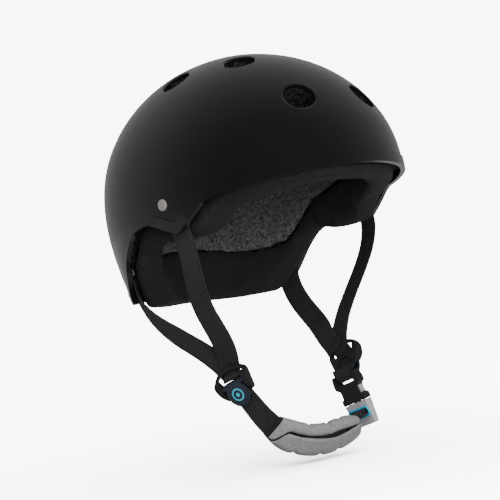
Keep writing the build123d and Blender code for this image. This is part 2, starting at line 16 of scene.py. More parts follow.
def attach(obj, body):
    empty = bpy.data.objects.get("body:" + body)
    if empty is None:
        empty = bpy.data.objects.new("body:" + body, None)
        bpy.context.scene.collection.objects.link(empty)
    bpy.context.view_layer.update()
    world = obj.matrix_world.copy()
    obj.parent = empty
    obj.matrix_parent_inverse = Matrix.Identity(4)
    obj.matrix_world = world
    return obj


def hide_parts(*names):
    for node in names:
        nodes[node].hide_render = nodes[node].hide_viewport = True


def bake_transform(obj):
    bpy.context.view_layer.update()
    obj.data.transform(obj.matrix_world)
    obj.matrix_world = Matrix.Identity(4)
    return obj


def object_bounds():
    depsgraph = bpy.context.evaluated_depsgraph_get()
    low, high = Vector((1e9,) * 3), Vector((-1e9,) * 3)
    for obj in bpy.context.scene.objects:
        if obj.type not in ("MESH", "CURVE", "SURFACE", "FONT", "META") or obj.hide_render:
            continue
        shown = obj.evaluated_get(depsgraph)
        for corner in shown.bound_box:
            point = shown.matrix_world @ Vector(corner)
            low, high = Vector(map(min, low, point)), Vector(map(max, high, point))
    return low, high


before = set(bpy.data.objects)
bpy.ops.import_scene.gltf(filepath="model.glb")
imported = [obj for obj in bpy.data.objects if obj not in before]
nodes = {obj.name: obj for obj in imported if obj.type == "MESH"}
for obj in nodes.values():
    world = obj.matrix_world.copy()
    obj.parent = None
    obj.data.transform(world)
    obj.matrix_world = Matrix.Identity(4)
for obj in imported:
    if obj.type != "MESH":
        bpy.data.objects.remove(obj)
cad_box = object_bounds()
print("solids:", len(nodes), "box in metres:", [[round(v, 3) for v in corner] for corner in cad_box])

# %% [markdown]
# ## Camera
# The helmet is seen from its front right, slightly from below, with a fairly long lens and the picture
# tilted a little. A camera could be aimed with a constraint, but its place and three axes are known here,
# so they are written straight into its matrix, which keeps the tilt exact.

# %% Camera
MM = 0.001
PICTURE_SIDE, FOCAL_PIXELS, SENSOR_WIDTH = 500, 1320, 36.0
CAMERA_X, CAMERA_Y, CAMERA_Z = -0.71125, -0.83414, -0.15581
camera_data = bpy.data.cameras.new("camera")
camera_data.sensor_width = SENSOR_WIDTH
camera_data.lens = FOCAL_PIXELS / PICTURE_SIDE * SENSOR_WIDTH
camera = bpy.data.objects.new("camera", camera_data)
bpy.context.scene.collection.objects.link(camera)
right_axis = Vector((0.75972, -0.63866, -0.12222))
up_axis = Vector((0.07921, -0.09565, 0.99226))
back_axis = Vector((-0.64541, -0.76352, -0.02208))
camera.matrix_world = Matrix((
    (right_axis.x, up_axis.x, back_axis.x, CAMERA_X),
    (right_axis.y, up_axis.y, back_axis.y, CAMERA_Y),
    (right_axis.z, up_axis.z, back_axis.z, CAMERA_Z),
    (0, 0, 0, 1),
))
bpy.context.scene.camera = camera
print("lens", round(camera_data.lens, 1), "mm")


# %% [markdown]
# ## Working with shader nodes
# Every finish below is a small network of nodes, built in code. These helpers add a node, set its values
# by name and join two sockets, so that each material reads as a list of what it is made of.

# %% Helpers for shader nodes
def new_material(name):
    """A material with an empty Principled shader; returns material, tree and shader."""
    material = bpy.data.materials.new(name)
    material.use_nodes = True
    tree = material.node_tree
    return material, tree, tree.nodes["Principled BSDF"]


def add_node(tree, kind, **values):
    """Adds a node; each value goes to the node's own setting, or else to the socket of that name."""
    node = tree.nodes.new(kind)
    for key, value in values.items():
        if hasattr(node, key):
            setattr(node, key, value)
        else:
            node.inputs[key.replace("_", " ")].default_value = value
    return node


def link(tree, source, target):
    """Joins an output socket to an input socket."""
    tree.links.new(source, target)


def use_group(tree, group, **values):
    """Places a shared group in a material, with its own values."""
    node = tree.nodes.new("ShaderNodeGroup")
    node.node_tree = group
    for key, value in values.items():
        node.inputs[key].default_value = value
    return node


def new_group(name, inputs, outputs):
    """A shader node group with float or colour sockets; returns group, input node and output node."""
    group = bpy.data.node_groups.new(name, "ShaderNodeTree")
    for socket, (kind, value) in inputs.items():
        made = group.interface.new_socket(name=socket, in_out="INPUT", socket_type=kind)
        if value is not None:
            made.default_value = value
    for socket, kind in outputs.items():
        group.interface.new_socket(name=socket, in_out="OUTPUT", socket_type=kind)
    return group, group.nodes.new("NodeGroupInput"), group.nodes.new("NodeGroupOutput")


# %% [markdown]
# ## Floor
# A photographer would hang the helmet before white paper. But a white floor also throws much light back
# up into a black helmet and greys it, and a dark floor would spoil the picture. So the paper is nearly
# white where the camera looks at it, and dark for every other ray, as if black cloth hid it from the helmet.

# %% Floor
FLOOR_SIDE, FLOOR_GAP = 60.0, 0.004
PAPER_SEEN, PAPER_BOUNCE = 0.94, 0.04
floor_z = cad_box[0][2] - FLOOR_GAP
bpy.ops.mesh.primitive_plane_add(size=FLOOR_SIDE, location=(0, 0, floor_z))
floor = bpy.context.object
floor.name = "floor"
floor_material, tree, shader = new_material("pale_paper")
shader.inputs["Roughness"].default_value = 1.0
shader.inputs["Specular IOR Level"].default_value = 0.0
sight = add_node(tree, "ShaderNodeLightPath")
paper = add_node(tree, "ShaderNodeMix", data_type="RGBA")
paper.inputs["A"].default_value = (PAPER_BOUNCE, PAPER_BOUNCE, PAPER_BOUNCE, 1)
paper.inputs["B"].default_value = (PAPER_SEEN, PAPER_SEEN, PAPER_SEEN, 1)
link(tree, sight.outputs["Is Camera Ray"], paper.inputs["Factor"])
link(tree, paper.outputs["Result"], shader.inputs["Base Color"])
floor.data.materials.append(floor_material)
print("floor at", round(floor_z, 3))


# %% [markdown]
# ## Light
# Three large soft lamps shine on the helmet, and their own shapes are kept out of its gloss, which would
# show them as hard white squares. A fourth, very wide lamp is linked to the floor alone: it makes the
# paper bright and leaves the soft shadow under the chin pad. What the gloss does show is the studio round
# it, a little brighter behind the helmet than near the camera, so the shell's edge catches a pale line.

# %% Lamps
AIM = (0.0, 0.0, -0.12)
SOFT_LAMPS = (
    ("key_lamp", (-0.9, -1.0, 0.9), 1.0, 20), ("low_lamp", (-0.5, -1.2, -0.25), 0.8, 18),
    ("fill_lamp", (0.5, -1.4, 0.3), 0.9, 6),
)
PAPER_LAMP_PLACE, PAPER_LAMP_ENERGY, PAPER_LAMP_ANGLE = (0.2, -0.4, 2.0), 29.0, 115


def lamp_object(name, kind, where, energy, **values):
    """A lamp that is aimed at the helmet and doesn't show in its gloss."""
    data = bpy.data.lights.new(name, kind)
    data.energy = energy
    for key, value in values.items():
        setattr(data, key, value)
    lamp = bpy.data.objects.new(name, data)
    bpy.context.scene.collection.objects.link(lamp)
    lamp.location = where
    lamp.rotation_euler = (Vector(AIM) - Vector(where)).to_track_quat("-Z", "Y").to_euler()
    lamp.visible_glossy = False
    return lamp


for name, where, size, energy in SOFT_LAMPS:
    lamp_object(name, "AREA", where, energy, size=size)
paper_lamp = lamp_object(
    "paper_lamp", "SUN", PAPER_LAMP_PLACE, PAPER_LAMP_ENERGY, angle=math.radians(PAPER_LAMP_ANGLE)
)
only_floor = bpy.data.collections.new("paper_lamp_receivers")
only_floor.objects.link(floor)
paper_lamp.light_linking.receiver_collection = only_floor

# %% Studio surroundings
GLOW_BEHIND, GLOW_IN_FRONT, BACKDROP = 0.3, 0.05, 8.6
world = bpy.data.worlds.new("studio")
world.use_nodes = True
tree = world.node_tree
direction = add_node(tree, "ShaderNodeTexCoord")
toward = add_node(tree, "ShaderNodeVectorMath", operation="DOT_PRODUCT")
link(tree, direction.outputs["Generated"], toward.inputs[0])
toward.inputs[1].default_value = back_axis
glow = add_node(tree, "ShaderNodeMapRange", interpolation_type="SMOOTHSTEP")
glow.inputs["From Min"].default_value = -0.6
glow.inputs["From Max"].default_value = 0.8
glow.inputs["To Min"].default_value = GLOW_BEHIND
glow.inputs["To Max"].default_value = GLOW_IN_FRONT
link(tree, toward.outputs["Value"], glow.inputs["Value"])
seen = add_node(tree, "ShaderNodeLightPath")
strength = add_node(tree, "ShaderNodeMix", data_type="FLOAT")
link(tree, seen.outputs["Is Camera Ray"], strength.inputs["Factor"])
link(tree, glow.outputs["Result"], strength.inputs["A"])
strength.inputs["B"].default_value = BACKDROP
link(tree, strength.outputs["Result"], tree.nodes["Background"].inputs["Strength"])
tree.nodes["Background"].inputs["Color"].default_value = (1, 1, 1, 1)
bpy.context.scene.world = world
print("surroundings from", GLOW_IN_FRONT, "to", GLOW_BEHIND, "and the backdrop", BACKDROP)

# %% [markdown]
# ## The shell
# The shell is injection-moulded ABS, polished black. The solid already has the right shape, with its lip
# and bevelled vents, so it only needs a finish: a dark base under a clear gloss, with the faint ripple
# and the fine handling marks that keep plastic from looking like a mirror.

# %% Handling marks, shared by the glossy plastics
marks_group, marks_in, marks_out = new_group(
    "handling_marks",
    {
        "Scale": ("NodeSocketFloat", 60.0), "Amount": ("NodeSocketFloat", 0.05),
        "Base": ("NodeSocketFloat", 0.15),
    },
    {"Roughness": "NodeSocketFloat", "Height": "NodeSocketFloat"},
)
tree = marks_group
where = add_node(tree, "ShaderNodeTexCoord")
cloudy = add_node(tree, "ShaderNodeTexNoise", Detail=5.0, Roughness=0.6)
link(tree, where.outputs["Object"], cloudy.inputs["Vector"])
link(tree, marks_in.outputs["Scale"], cloudy.inputs["Scale"])
spread = add_node(tree, "ShaderNodeMath", operation="MULTIPLY_ADD")
link(tree, cloudy.outputs["Fac"], spread.inputs[0])
link(tree, marks_in.outputs["Amount"], spread.inputs[1])
link(tree, marks_in.outputs["Base"], spread.inputs[2])
link(tree, spread.outputs[0], marks_out.inputs["Roughness"])
link(tree, cloudy.outputs["Fac"], marks_out.inputs["Height"])
print("group:", marks_group.name)

# %% Gloss black shell
shell_material, tree, shader = new_material("gloss_black_shell")
shader.inputs["Base Color"].default_value = (0.006, 0.006, 0.007, 1)
shader.inputs["Coat Weight"].default_value = 0.6
shader.inputs["Coat Roughness"].default_value = 0.04
marks = use_group(tree, marks_group, Scale=55.0, Amount=0.1, Base=0.14)
link(tree, marks.outputs["Roughness"], shader.inputs["Roughness"])
ripple = add_node(tree, "ShaderNodeBump", Strength=0.03, Distance=0.0004)
link(tree, marks.outputs["Height"], ripple.inputs["Height"])
link(tree, ripple.outputs["Normal"], shader.inputs["Normal"])


def finish_node(name, material):
    """Gives a solid from the frame its material and leaves its mesh as it is."""
    nodes[name].data.materials.clear()
    nodes[name].data.materials.append(material)


finish_node("outer_shell", shell_material)
print("shell triangles:", len(nodes["outer_shell"].data.polygons))

# %% [markdown]
# ## The helmet's form, as numbers
# Straps and pads must lie exactly where the shell lets them. The shell's outside is a simple formula, a
# squarish oval that shrinks toward the crown and tucks in toward the nape, so the same formula gives any
# point of it here, in millimetres, and each soft piece is measured from it.

# %% Points on the shell's outside
HALF_WIDTH, FRONT_REACH, REAR_REACH, CROWN_RISE = 108.5, 141.0, 134.5, 114.0
PLAN_POWER, SKIRT_DEPTH, FRONT_FLARE, REAR_TUCK, SIDE_TUCK = 2.15, 90.0, 4.0, 31.0, 9.0
LEVEL = -85.0


def form_point(angle, height, grow=0.0):
    """Point on the shell's form, grown outward, in millimetres; height counts from its widest level."""
    c, s = math.cos(angle), math.sin(angle)
    reach = (FRONT_REACH if s < 0 else REAR_REACH) + grow
    spread = (abs(c / (HALF_WIDTH + grow)) ** PLAN_POWER + abs(s / reach) ** PLAN_POWER) ** (-1 / PLAN_POWER)
    if height >= 0:
        spread *= math.sqrt(max(0.0, 1 - (height / (CROWN_RISE + grow)) ** 2))
    else:
        end_tuck = -FRONT_FLARE if s < 0 else REAR_TUCK
        spread -= (end_tuck * s * s + SIDE_TUCK * c * c) * (height / SKIRT_DEPTH) ** 2
    return Vector((spread * c, spread * s, LEVEL + height))


def side_point(side, y, height, inset):
    """Point on one side wall at a given y, with the level direction along the wall."""
    low, high = -math.pi / 2, math.pi / 2
    for _ in range(40):
        middle = (low + high) / 2
        if form_point(middle, height, -inset).y < y:
            low = middle
        else:
            high = middle
    angle = low if side > 0 else math.pi - low
    along = form_point(angle + 0.01, height, -inset) - form_point(angle - 0.01, height, -inset)
    return form_point(angle, height, -inset), along.normalized()


def at(x, y, height):
    """A point in millimetres whose height counts from the shell's widest level."""
    return Vector((x, y, LEVEL + height))


print("crown height:", round(form_point(0, CROWN_RISE).z, 1), "widest at height:", LEVEL)


# %% Places of the dividers and the buckle
def place(origin, x_dir, z_dir):
    """A matrix in millimetres with its z axis along z_dir and x axis near x_dir."""
    z = Vector(z_dir).normalized()
    x = Vector(x_dir)
    x = (x - z * x.dot(z)).normalized()
    y = z.cross(x)
    return Matrix((
        (x.x, y.x, z.x, origin.x), (x.y, y.y, z.y, origin.y), (x.z, y.z, z.z, origin.z), (0, 0, 0, 1),
    ))


DIVIDERS = {
    -1: place(at(-54.4, -26.2, -157.3), (0.231, -0.889, 0.395), (-0.894, -0.355, -0.275)),
    1: place(at(58.2, -30.1, -153.0), (-0.070, 0.897, -0.436), (0.958, -0.059, -0.278)),
}
BUCKLE = place(at(57.0, -39.4, -182.9), (-0.045, 0.957, -0.272), (0.979, 0.093, 0.164))


def spot(matrix, x, y, z):
    """A point given in a fitting's own axes."""
    return matrix @ Vector((x, y, z))


def way(matrix, x, y, z):
    """A direction given in a fitting's own axes."""
    return (matrix.to_3x3() @ Vector((x, y, z))).normalized()


print("right disc at", [round(v, 1) for v in spot(DIVIDERS[-1], 0, 0, 0)])

# %% [markdown]
# ## Webbing
# A strap is a flat woven strip. It is built as a ribbon that follows a smooth line through a few measured
# stations, each with the direction across the strip, so it twists the way real webbing does between two
# fittings. Cloth simulation isn't used here: it would melt a strip this thin.

# %% Smooth lines
def smooth_line(points, shares):
    """Positions and directions on a natural cubic spline through points, at shares of its length."""
    p = np.array([tuple(q) for q in points])
    t = np.r_[0, np.cumsum(np.linalg.norm(np.diff(p, axis=0), axis=1))]
    h = np.diff(t)
    n = len(p)
    a = np.zeros((n, n))
    b = np.zeros((n, 3))
    a[0, 0] = a[-1, -1] = 1
    for i in range(1, n - 1):
        a[i, i - 1 : i + 2] = h[i - 1], 2 * (h[i - 1] + h[i]), h[i]
        b[i] = 6 * ((p[i + 1] - p[i]) / h[i] - (p[i] - p[i - 1]) / h[i - 1])
    m = np.linalg.solve(a, b)
    fine = np.linspace(0, t[-1], 600)
    k = np.clip(np.searchsorted(t, fine, side="right") - 1, 0, n - 2)
    w = ((fine - t[k]) / h[k])[:, None]
    g = h[k][:, None]
    bend = ((1 - w) ** 3 - (1 - w)) * m[k] + (w ** 3 - w) * m[k + 1]
    line = (1 - w) * p[k] + w * p[k + 1] + g * g / 6 * bend
    reach = np.r_[0, np.cumsum(np.linalg.norm(np.diff(line, axis=0), axis=1))]
    where = np.array(shares) * reach[-1]
    spots = np.stack([np.interp(where, reach, line[:, c]) for c in range(3)], axis=1)
    slope = np.gradient(line, reach, axis=0)
    heading = np.stack([np.interp(where, reach, slope[:, c]) for c in range(3)], axis=1)
    heading /= np.linalg.norm(heading, axis=1)[:, None]
    return spots, heading, reach[-1]


def strip_frames(stations, count, start=0.0, stop=1.0):
    """Along a strip: its middle, direction, across and face directions, and its length in millimetres."""
    shares = np.linspace(start, stop, count + 1)
    spots, heading, length = smooth_line([p for p, _ in stations], shares)
    points = np.array([tuple(p) for p, _ in stations])
    chords = np.r_[0, np.cumsum(np.linalg.norm(np.diff(points, axis=0), axis=1))]
    chords /= chords[-1]
    across = np.stack([np.interp(shares, chords, [q[c] for _, q in stations]) for c in range(3)], axis=1)
    across -= heading * np.sum(across * heading, axis=1)[:, None]
    across /= np.linalg.norm(across, axis=1)[:, None]
    face = np.cross(heading, across)
    return spots, heading, across, face, length


# %% Ribbon with two faces and rounded selvedges
WEBBING_WIDTH, WEBBING_THICK = 19.0, 1.4


def mesh_piece(name, vertices, faces, material):
    """A smooth mesh object from points in millimetres."""
    mesh = bpy.data.meshes.new(name)
    mesh.from_pydata([tuple(float(c) * MM for c in v) for v in vertices], [], faces)
    mesh.update()
    piece = bpy.data.objects.new(name, mesh)
    bpy.context.scene.collection.objects.link(piece)
    mesh.materials.append(material)
    mesh.polygons.foreach_set("use_smooth", [True] * len(mesh.polygons))
    return piece


def strip_profile(columns=8, flat=0.985, fall=0.35, edge=0.25):
    """Outline of the webbing's cross-section: two nearly flat faces and rounded selvedges."""
    w, t = WEBBING_WIDTH / 2, WEBBING_THICK / 2
    top = [(w * u, t * (1 - fall * abs(u) ** 12)) for u in np.linspace(-flat, flat, columns + 1)]
    bottom = [(x, -y) for x, y in reversed(top)]
    return top + [(w, edge * t), (w, -edge * t)] + bottom + [(-w, -edge * t), (-w, edge * t)]


def web_strip(name, stations, material, step=1.2, stop=1.0):
    """A woven strap along stations, with a UV map that counts millimetres along and across it."""
    profile = strip_profile()
    length = strip_frames(stations, 2)[-1]
    count = int(length * stop / step)
    spots, _, across, face, _ = strip_frames(stations, count, stop=stop)
    around = len(profile)
    vertices = [s + a * x + f * y for s, a, f in zip(spots, across, face) for x, y in profile]
    faces = []
    for i in range(count):
        for j in range(around):
            k = (j + 1) % around
            faces.append((i * around + j, (i + 1) * around + j, (i + 1) * around + k, i * around + k))
    faces.append(tuple(range(around)))
    faces.append(tuple(count * around + j for j in reversed(range(around))))
    piece = mesh_piece(name, vertices, faces, material)
    layer = piece.data.uv_layers.new(name="weave")
    uv = np.zeros((len(piece.data.loops), 2))
    for polygon in piece.data.polygons:
        for loop in polygon.loop_indices:
            v = piece.data.loops[loop].vertex_index
            uv[loop] = (v // around) * length * stop / count, WEBBING_WIDTH + profile[v % around][0]
    layer.data.foreach_set("uv", uv.ravel())
    print(name, "length", round(length * stop), "mm, faces", len(faces))
    return piece


print("webbing", WEBBING_WIDTH, "by", WEBBING_THICK, "mm")

# %% [markdown]
# The weave is drawn by nodes: narrow ribs lean one way and then the other across the strap, as in a
# herringbone, crossed by a finer thread. The group hands out a height for the bump and a mask of painted
# shade that darkens the valleys.

# %% Woven ribs, shared by all straps
THREAD_PITCH, THREAD_SHARE = 0.8, 0.3
weave_group, weave_in, weave_out = new_group(
    "woven_ribs",
    {
        "Pitch": ("NodeSocketFloat", 1.5), "Lean": ("NodeSocketFloat", 0.75),
        "Repeat": ("NodeSocketFloat", 60.0),
    },
    {"Height": "NodeSocketFloat", "Valley shade": "NodeSocketFloat"},
)
tree = weave_group
uv_source = add_node(tree, "ShaderNodeTexCoord")
parts = add_node(tree, "ShaderNodeSeparateXYZ")
link(tree, uv_source.outputs["UV"], parts.inputs[0])
zig = add_node(tree, "ShaderNodeMath", operation="PINGPONG")
link(tree, parts.outputs["Y"], zig.inputs[0])
link(tree, weave_in.outputs["Repeat"], zig.inputs[1])
lean = add_node(tree, "ShaderNodeMath", operation="MULTIPLY_ADD")
link(tree, zig.outputs[0], lean.inputs[0])
link(tree, weave_in.outputs["Lean"], lean.inputs[1])
link(tree, parts.outputs["X"], lean.inputs[2])
turns = add_node(tree, "ShaderNodeMath", operation="DIVIDE")
link(tree, lean.outputs[0], turns.inputs[0])
link(tree, weave_in.outputs["Pitch"], turns.inputs[1])
angle = add_node(tree, "ShaderNodeMath", operation="MULTIPLY")
link(tree, turns.outputs[0], angle.inputs[0])
angle.inputs[1].default_value = 2 * math.pi
rib = add_node(tree, "ShaderNodeMath", operation="SINE")
link(tree, angle.outputs[0], rib.inputs[0])
thread_angle = add_node(tree, "ShaderNodeMath", operation="MULTIPLY")
link(tree, parts.outputs["Y"], thread_angle.inputs[0])
thread_angle.inputs[1].default_value = 2 * math.pi / THREAD_PITCH
thread = add_node(tree, "ShaderNodeMath", operation="SINE")
link(tree, thread_angle.outputs[0], thread.inputs[0])
both = add_node(tree, "ShaderNodeMath", operation="MULTIPLY_ADD")
link(tree, thread.outputs[0], both.inputs[0])
both.inputs[1].default_value = THREAD_SHARE
link(tree, rib.outputs[0], both.inputs[2])
# Painted shade: the valleys between the ribs are made darker in the colour, the crests lighter.
valley_shade = add_node(tree, "ShaderNodeMapRange")
valley_shade.inputs["From Min"].default_value = -1.2
valley_shade.inputs["From Max"].default_value = 1.0
link(tree, both.outputs[0], valley_shade.inputs["Value"])
link(tree, valley_shade.outputs["Result"], weave_out.inputs["Valley shade"])
link(tree, both.outputs[0], weave_out.inputs["Height"])
print("group:", weave_group.name)


# %% Webbing material
def two_tone(tree, mask, dark, light):
    """Mixes two colours by a mask and returns the colour output."""
    mix = add_node(tree, "ShaderNodeMix", data_type="RGBA")
    mix.inputs["A"].default_value = (*dark, 1)
    mix.inputs["B"].default_value = (*light, 1)
    link(tree, mask, mix.inputs["Factor"])
    return mix.outputs["Result"]


webbing_material, tree, shader = new_material("black_webbing")
ribs = use_group(tree, weave_group)
# The strap's colour is the weave's pattern, with painted shade in its valleys.
threads_and_valley_shade = two_tone(tree, ribs.outputs["Valley shade"], (0.001, 0.001, 0.001), (0.05, 0.05, 0.05))
link(tree, threads_and_valley_shade, shader.inputs["Base Color"])
shader.inputs["Roughness"].default_value = 0.62
shader.inputs["Sheen Weight"].default_value = 0.06
shader.inputs["Sheen Roughness"].default_value = 0.4
rib_bump = add_node(tree, "ShaderNodeBump", Strength=0.9, Distance=0.0005)
link(tree, ribs.outputs["Height"], rib_bump.inputs["Height"])
link(tree, rib_bump.outputs["Normal"], shader.inputs["Normal"])
print("material:", webbing_material.name)

# %% [markdown]
# ## The four upper straps
# Each upper strap starts flat against the wall at its rivet and ends flat in its divider, so it has to
# twist on the way. The stations give both ends exactly, and one free station between them sets how far
# the strap bows. When the chin loop swings, these straps would have to bend; here they stay fixed in place.

# %% Straps from the rivets to the dividers
INSET = 4.7
FRONT_RIVET, REAR_RIVET = (-23.8, -6.4), (58.5, -55.0)
FRONT_BOW = {-1: at(-89.5, -33, -83), 1: at(71.0, -27.0, -99.6)}
REAR_BOW = {-1: at(-75, 18, -111), 1: at(73, 14.7, -115.6)}


def divider_station(side, forward, y, z):
    """A station in a divider's own axes, with the strip lying across them."""
    return spot(DIVIDERS[side], -side * forward, y, z), way(DIVIDERS[side], 1, 0, 0)


def front_stations(side):
    across = (side_point(side, -30, -28, INSET)[1] + way(DIVIDERS[side], 1, 0, 0)).normalized()
    return [
        side_point(side, -22.0, 2.0, INSET), side_point(side, *FRONT_RIVET, INSET),
        side_point(side, -28.5, -18.0, INSET), side_point(side, -33.5, -29.0, INSET),
        (FRONT_BOW[side], across),
        divider_station(side, 3.6, 25.0, -4.1), divider_station(side, 1.4, 20.0, -3.5),
        divider_station(side, 0.6, 16.4, -2.5), divider_station(side, 0.3, 13.1, 0.4),
        divider_station(side, 0.2, 11.4, 0.85),
    ]


def rear_stations(side):
    wall_share = 0.45
    across = (side_point(side, 50, -75, INSET)[1] * wall_share + way(DIVIDERS[side], 1, 0, 0)).normalized()
    return [
        side_point(side, 60.5, -46.0, INSET), side_point(side, *REAR_RIVET, INSET),
        side_point(side, 58.5, -66.0, INSET), side_point(side, 56.0, -76.0, INSET),
        (REAR_BOW[side], across),
        divider_station(side, -6.0, 25.0, -6.3), divider_station(side, -4.5, 20.5, -5.8),
        divider_station(side, -3.4, 16.6, -5.3),
    ]


for side, name in ((-1, "right"), (1, "left")):
    for end, stations in (("front", front_stations(side)), ("rear", rear_stations(side))):
        strap = web_strip(f"{end}_strap_{name}_webbing", stations, webbing_material)
        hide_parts(f"{end}_strap_{name}")
        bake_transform(strap)

# %% [markdown]
# ## The straps of the chin loop
# The chin strap leaves the right divider and runs on inside the pad. The buckle strap leaves the left
# divider and goes once round the buckle's ladder bar. The fold comes out of the pad, passes through the
# slot of the male half and turns back on itself. Each is the same ribbon, laid along its own stations.

# %% Straps of the chin loop
STRAP_IN_PAD, FOLD_TAIL = 0.7, 0.08
IN_RIGHT_DIVIDER = (
    (0, 10.3, 0.5), (0, 8, 0.5), (0, 5, 0.5), (0.1, 1.5, 0.55), (0.3, -1.8, 0.6), (0.6, -5.2, 0.6),
)
CHIN_LINE = [divider_station(-1, *where) for where in IN_RIGHT_DIVIDER]
CHIN_LINE += [
    (at(-37, -40, -189), Vector((0.235, -0.453, 0.795))), (at(0, -48, -204.5), Vector((0, -0.38, 0.92))),
    (at(45, -47, -198.5), Vector((-0.125, -0.28, 0.93))),
    (at(55, -46.4, -196.0), Vector((-0.125, -0.28, 0.93))),
]
chords = np.r_[0, np.cumsum([(b[0] - a[0]).length for a, b in zip(CHIN_LINE, CHIN_LINE[1:])])]
PAD_START, PAD_MIDDLE, PAD_STOP = (chords / chords[-1])[6:9]
strap_stop = PAD_MIDDLE + STRAP_IN_PAD * (PAD_STOP - PAD_MIDDLE)
chin_strap = web_strip("chin_strap_webbing", CHIN_LINE, webbing_material, stop=strap_stop)
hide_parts("chin_strap")
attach(chin_strap, "chin_loop")


def buckle_station(x, y, z, facing=1):
    """A station in the buckle's own axes; facing turns the strip over."""
    return spot(BUCKLE, x, y, z), way(BUCKLE, facing, 0, 0)


IN_LEFT_DIVIDER = ((0, 10.3, 0.5), (0, 6, 0.55), (0.3, 1, 0.6), (0.6, -2.4, 0.4))
ROUND_LADDER_BAR = (
    (27.2, 2.7), (25, 2.75), (22.6, 2.7), (20.6, 1.9), (19.8, 0), (20.6, -1.9), (22.6, -2.7), (26, -2.75),
    (31, -3),
)
BUCKLE_LINE = [divider_station(1, *where) for where in IN_LEFT_DIVIDER]
BUCKLE_LINE += [buckle_station(0, y, z) for y, z in ROUND_LADDER_BAR]
buckle_strap = web_strip("buckle_strap_webbing", BUCKLE_LINE, webbing_material, step=0.6)
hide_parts("buckle_strap")
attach(buckle_strap, "chin_loop")

pad_spots, _, pad_across, _, _ = strip_frames(CHIN_LINE, 3, PAD_STOP - FOLD_TAIL, PAD_STOP)
THROUGH_SLOT = (
    (-7.9, -8), (-7.9, -3), (-7.9, 0.6), (-8.4, 2.1), (-9.5, 2.6), (-10.6, 2.1), (-11.1, 0.6), (-11.1, -3),
)
CHIN_FOLD = [buckle_station(0, y, z, facing=-1) for y, z in THROUGH_SLOT]
CHIN_FOLD += [buckle_station(-0.6, -11.8, -7, facing=-1), buckle_station(-1.5, -13.0, -11, facing=-1)]
CHIN_FOLD += [(Vector(p), Vector(q)) for p, q in zip(pad_spots[::-1], pad_across[::-1])]
chin_fold = web_strip("chin_fold_webbing", CHIN_FOLD, webbing_material, step=0.6)
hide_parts("chin_fold")
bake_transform(chin_fold)

# %% [markdown]
# ## Hard fittings
# The moulded fittings keep their exact solids. Four plastics cover them, a satin black, a light grey, a
# glossy navy and a clear blue, each with a little cloudiness in its colour and its gloss so that no
# surface is one flat value. The levers' pins are brushed steel, and the rivets a warm satin metal.

# %% Moulded plastics and metals
def plastic(name, dark, light, gloss, scale=120.0, spread=0.14, coat=0.0, metal=0.0):
    """A cloudy plastic or metal; returns material, tree, shader and the colour output."""
    material, tree, shader = new_material(name)
    marks = use_group(tree, marks_group, Scale=scale, Amount=spread, Base=gloss)
    colour = two_tone(tree, marks.outputs["Height"], dark, light)
    link(tree, colour, shader.inputs["Base Color"])
    link(tree, marks.outputs["Roughness"], shader.inputs["Roughness"])
    shader.inputs["Coat Weight"].default_value = coat
    shader.inputs["Coat Roughness"].default_value = 0.1
    shader.inputs["Metallic"].default_value = metal
    grain = add_node(tree, "ShaderNodeBump", Strength=0.08, Distance=0.0002)
    link(tree, marks.outputs["Height"], grain.inputs["Height"])
    link(tree, grain.outputs["Normal"], shader.inputs["Normal"])
    return material, tree, shader, colour


satin_black = plastic("satin_black_plastic", (0.008, 0.008, 0.008), (0.016, 0.016, 0.017), 0.36)[0]
light_grey = plastic("light_grey_plastic", (0.38, 0.38, 0.39), (0.5, 0.5, 0.51), 0.38)[0]
clear_blue = plastic("bright_blue_plastic", (0.0, 0.4, 0.62), (0.01, 0.5, 0.74), 0.3)[0]
pin_steel = plastic("brushed_steel", (0.5, 0.5, 0.5), (0.68, 0.68, 0.68), 0.22, scale=900.0, metal=1.0)[0]
rivet_metal = plastic(
    "satin_rivet_metal", (0.36, 0.32, 0.29), (0.55, 0.51, 0.47), 0.36, scale=500.0, metal=0.45
)[0]
hook_fabric = plastic("hook_tape", (0.004, 0.004, 0.004), (0.03, 0.03, 0.03), 0.75, scale=1800.0)[0]

for name, material in (
    ("divider_frame_right", satin_black), ("divider_frame_left", satin_black),
    ("buckle_female", satin_black), ("buckle_male", light_grey),
    ("latch_arm_front", light_grey), ("latch_arm_rear", light_grey),
    ("slot_ring", clear_blue), ("lever_pin_right", pin_steel), ("lever_pin_left", pin_steel),
    ("strap_rivets", rivet_metal), ("rivet_washers", satin_black), ("hook_patches", hook_fabric),
):
    finish_node(name, material)
print("plain fittings finished")

# %% [markdown]
# The discs carry a plain printed ring and dot. The print is a mask: how far a point lies from the disc's
# own axis, kept to the disc's outer face.

# %% Ring printed on a disc
ring_group, ring_in, ring_out = new_group(
    "printed_ring",
    {
        "Centre": ("NodeSocketVector", None), "Axis": ("NodeSocketVector", None),
        "Radius": ("NodeSocketFloat", 0.0046), "Line": ("NodeSocketFloat", 0.0007),
        "Dot": ("NodeSocketFloat", 0.0017), "Low": ("NodeSocketFloat", 0.0052),
    },
    {"Mask": "NodeSocketFloat"},
)
tree = ring_group
where = add_node(tree, "ShaderNodeTexCoord")
offset = add_node(tree, "ShaderNodeVectorMath", operation="SUBTRACT")
link(tree, where.outputs["Object"], offset.inputs[0])
link(tree, ring_in.outputs["Centre"], offset.inputs[1])
turned = add_node(tree, "ShaderNodeVectorMath", operation="CROSS_PRODUCT")
link(tree, offset.outputs[0], turned.inputs[0])
link(tree, ring_in.outputs["Axis"], turned.inputs[1])
distance = add_node(tree, "ShaderNodeVectorMath", operation="LENGTH")
link(tree, turned.outputs[0], distance.inputs[0])
on_line = add_node(tree, "ShaderNodeMath", operation="COMPARE")
link(tree, distance.outputs["Value"], on_line.inputs[0])
link(tree, ring_in.outputs["Radius"], on_line.inputs[1])
link(tree, ring_in.outputs["Line"], on_line.inputs[2])
in_dot = add_node(tree, "ShaderNodeMath", operation="LESS_THAN")
link(tree, distance.outputs["Value"], in_dot.inputs[0])
